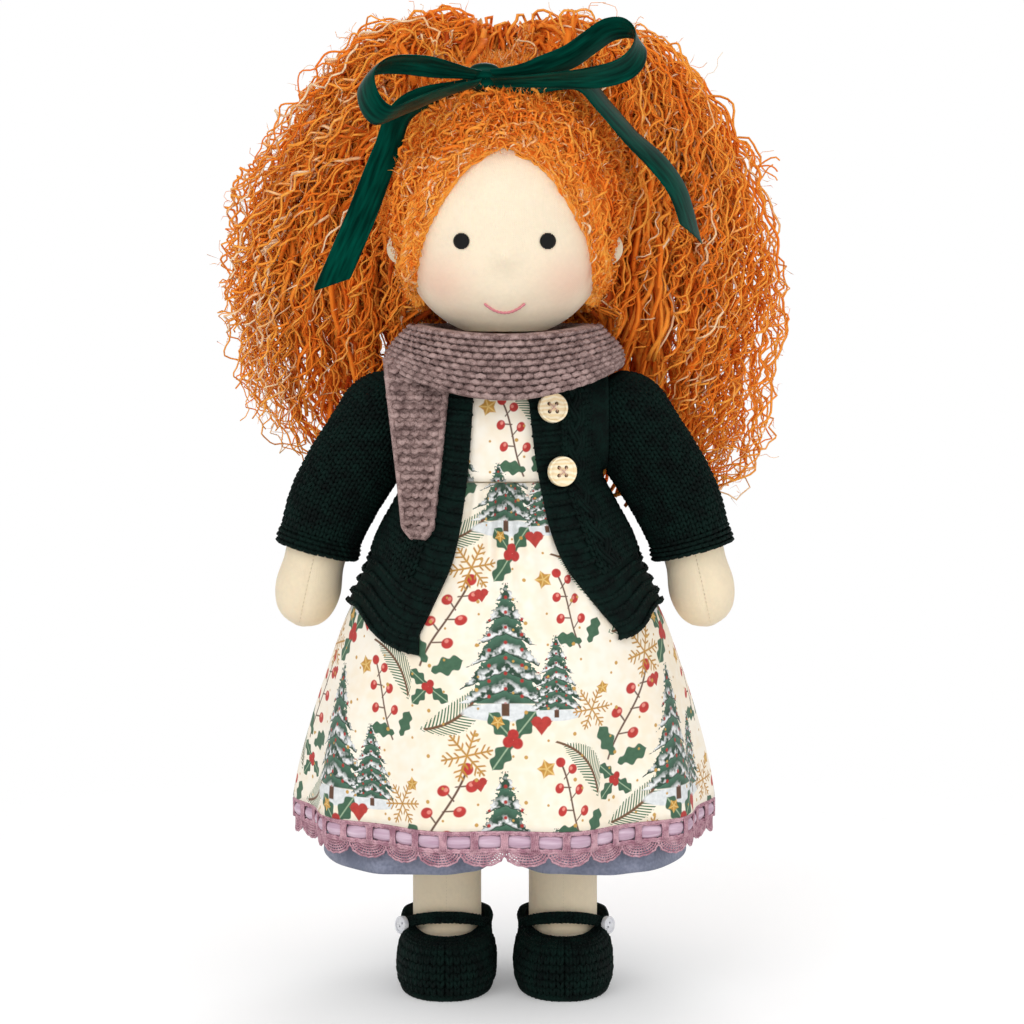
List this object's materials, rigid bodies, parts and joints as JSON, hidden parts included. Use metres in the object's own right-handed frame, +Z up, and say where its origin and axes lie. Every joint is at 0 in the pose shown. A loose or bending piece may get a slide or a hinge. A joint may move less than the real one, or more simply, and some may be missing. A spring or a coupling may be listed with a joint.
{
  "type": "rag doll",
  "caption": "Standing stuffed cloth doll with a curly yarn wig and hair bow, in a print dress, open cardigan, scarf, bloomers and strap shoes. Its arms and legs turn.",
  "frame": {"origin": "middle of the footprint, on the floor under the soles", "axes": "+Z up, the doll looks along -Y, its own left side is +X"},
  "size_m": [0.235, 0.1536, 0.3985],
  "materials": {
    "skin_jersey": "cream cotton jersey",
    "wig_yarn": "orange boucle mohair",
    "satin_green": "dark green satin ribbon",
    "dress_cotton": "printed cream cotton",
    "lace_cotton": "mauve crochet lace",
    "satin_pink": "pale mauve satin ribbon",
    "bloomer_cotton": "grey-blue cotton",
    "knit_green": "very dark green wool, hand knit",
    "knit_mauve": "mauve-grey wool, hand knit",
    "button_wood": "pale bare wood",
    "button_pearl": "white pearl",
    "thread_black": "black embroidery cotton",
    "thread_pink": "pink embroidery cotton"
  },
  "bodies": {
    "torso": {"torso": "skin_jersey", "head": "skin_jersey", "eye_left": "thread_black", "eye_right": "thread_black", "ear_left": "skin_jersey", "ear_right": "skin_jersey", "mouth": "thread_pink", "hair_cap": "wig_yarn", "hair_bunch_left": "wig_yarn", "hair_bunch_right": "wig_yarn", "hair_crown": "wig_yarn", "hair_back": "wig_yarn", "hair_ribbon_knot": "satin_green", "hair_ribbon_loop_left": "satin_green", "hair_ribbon_loop_right": "satin_green", "hair_ribbon_tail_left": "satin_green", "hair_ribbon_tail_right": "satin_green", "dress_skirt": "dress_cotton", "dress_bodice": "dress_cotton", "lace_trim": "lace_cotton", "lace_ribbon": "satin_pink", "bloomers": "bloomer_cotton", "cardigan_back": "knit_green", "cardigan_front_left": "knit_green", "cardigan_front_right": "knit_green", "cardigan_button_upper": "button_wood", "cardigan_button_lower": "button_wood", "scarf_wrap": "knit_mauve", "scarf_tail": "knit_mauve"},
    "arm_left": {"arm_left": "skin_jersey", "sleeve_left": "knit_green"},
    "arm_right": {"arm_right": "skin_jersey", "sleeve_right": "knit_green"},
    "leg_left": {"leg_left": "skin_jersey", "shoe_left": "knit_green", "shoe_strap_left": "knit_green", "shoe_button_left": "button_pearl"},
    "leg_right": {"leg_right": "skin_jersey", "shoe_right": "knit_green", "shoe_strap_right": "knit_green", "shoe_button_right": "button_pearl"}
  },
  "joints": [
    {"name": "shoulder_left", "type": "hinge", "parent": "torso", "child": "arm_left", "pos_m": [0.05, 0, 0.232], "axis": [-1, 0, 0], "range_deg": [-10, 75]},
    {"name": "shoulder_right", "type": "hinge", "parent": "torso", "child": "arm_right", "pos_m": [-0.05, 0, 0.232], "axis": [-1, 0, 0], "range_deg": [-10, 75]},
    {"name": "hip_left", "type": "hinge", "parent": "torso", "child": "leg_left", "pos_m": [0.024, 0, 0.138], "axis": [-1, 0, 0], "range_deg": [-20, 22]},
    {"name": "hip_right", "type": "hinge", "parent": "torso", "child": "leg_right", "pos_m": [-0.024, 0, 0.138], "axis": [-1, 0, 0], "range_deg": [-20, 22]}
  ]
}
